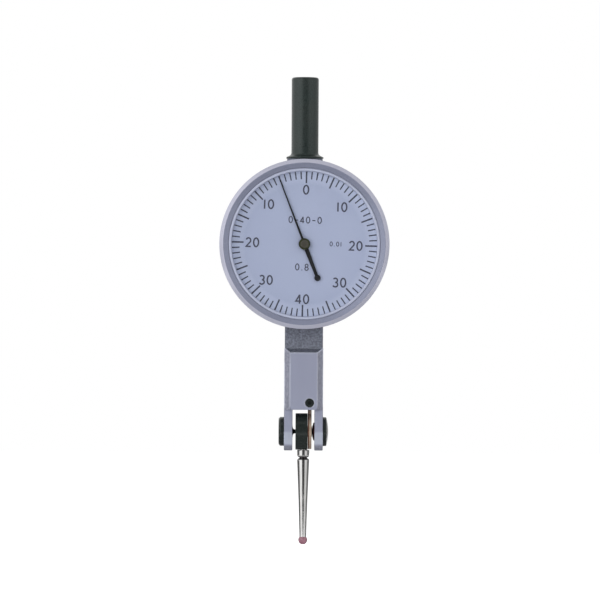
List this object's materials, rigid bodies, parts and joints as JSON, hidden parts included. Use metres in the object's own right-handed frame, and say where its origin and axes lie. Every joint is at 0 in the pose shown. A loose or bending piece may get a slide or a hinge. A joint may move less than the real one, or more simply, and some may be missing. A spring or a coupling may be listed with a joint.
{
  "type": "dial test indicator",
  "caption": "Dial test indicator with a round stem, a turning bezel and dial, and a swivelling ball-tipped stylus in a forked nose.",
  "frame": {"origin": "centre of the stem's free end face", "axes": "+Z along the stem, away from the dial; -Y out of the dial towards the reader; +X to the reader's right; at rest the stylus points along -Z"},
  "size_m": [0.0374, 0.0142, 0.1036],
  "materials": {
    "black_oxide": "black oxide, satin",
    "cast_metal": "blasted, matt",
    "satin_metal": "satin chrome",
    "bright_metal": "polished",
    "screw_steel": "polished steel",
    "movement_brass": "fine-turned brass",
    "cap_brass": "darkened brass",
    "lever_brass": "brushed copper alloy",
    "bush_bronze": "tarnished bronze",
    "bearing_stone": "polished ruby",
    "dial_paint": "matt pale blue-grey paint",
    "pointer_black": "matt black paint",
    "crystal_clear": "clear, polished",
    "stylus_chrome": "hard chrome, polished",
    "ball_stone": "polished ruby"
  },
  "bodies": {
    "case": {"stem": "black_oxide", "head_case": "cast_metal", "neck_screw_left": "screw_steel", "neck_screw_right": "screw_steel", "rear_cover": "satin_metal", "cover_screw_1": "screw_steel", "cover_screw_2": "screw_steel", "cover_screw_3": "screw_steel", "movement_plate": "movement_brass", "plate_screw_1": "screw_steel", "plate_screw_2": "screw_steel", "plate_screw_3": "screw_steel", "hairspring_stud": "movement_brass", "arbor_bridge_left": "movement_brass", "arbor_bridge_right": "movement_brass", "bridge_screw_left": "screw_steel", "bridge_screw_right": "screw_steel", "cross_bearing_left": "bearing_stone", "cross_bearing_right": "bearing_stone", "centre_cock": "movement_brass", "cock_screw": "screw_steel", "centre_bearing_rear": "bearing_stone", "centre_bearing_front": "bearing_stone", "bezel_retainer": "screw_steel", "hairspring": "screw_steel", "fork_body": "satin_metal", "nose_cover": "satin_metal", "nose_screw_1": "screw_steel", "nose_screw_2": "screw_steel", "adjusting_screw": "black_oxide", "sector_bearing_left": "movement_brass", "sector_bearing_right": "movement_brass", "pivot_screw_left": "black_oxide", "pivot_screw_right": "black_oxide", "pivot_bush": "bush_bronze"},
    "bezel": {"bezel": "satin_metal", "dial": "dial_paint", "crystal_ring": "bright_metal", "crystal": "crystal_clear"},
    "lever": {"lever": "lever_brass", "lever_pin": "screw_steel", "pivot_axle": "screw_steel"},
    "stylus": {"stylus_hub": "black_oxide", "stylus": "stylus_chrome", "ball_tip": "ball_stone"},
    "sector": {"sector_gear": "movement_brass", "sector_arbor": "screw_steel"},
    "cross_arbor": {"cross_arbor": "screw_steel", "crown_gear": "movement_brass"},
    "pointer": {"centre_arbor": "screw_steel", "pointer": "pointer_black", "pointer_cap": "cap_brass", "hairspring_collet": "movement_brass"}
  },
  "joints": [
    {"name": "bezel_turn", "type": "hinge", "parent": "case", "child": "bezel", "pos_m": [0, -0.0065, -0.037], "axis": [0, 1, 0], "continuous": true},
    {"name": "lever_swing", "type": "hinge", "parent": "case", "child": "lever", "pos_m": [0, 0, -0.0785], "axis": [1, 0, 0], "range_deg": [-0.95, 0.95], "stiffness_Nm_per_rad": 0.02},
    {"name": "stylus_set", "type": "hinge", "parent": "lever", "child": "stylus", "pos_m": [0, 0, -0.0785], "axis": [1, 0, 0], "range_deg": [-110, 110]},
    {"name": "sector_swing", "type": "hinge", "parent": "case", "child": "sector", "pos_m": [0, 0, -0.065], "axis": [1, 0, 0], "range_deg": [-1.9, 1.9]},
    {"name": "cross_arbor_turn", "type": "hinge", "parent": "case", "child": "cross_arbor", "pos_m": [0, 0, -0.037], "axis": [1, 0, 0], "range_deg": [-26.7, 26.7]},
    {"name": "pointer_turn", "type": "hinge", "parent": "case", "child": "pointer", "pos_m": [0, -0.0065, -0.037], "axis": [0, 1, 0], "range_deg": [-180, 180], "stiffness_Nm_per_rad": 0.000008}
  ],
  "couplings": [
    {"joint": "sector_swing", "follows": "lever_swing", "ratio": -2},
    {"joint": "cross_arbor_turn", "follows": "lever_swing", "ratio": 28},
    {"joint": "pointer_turn", "follows": "lever_swing", "ratio": 189}
  ]
}
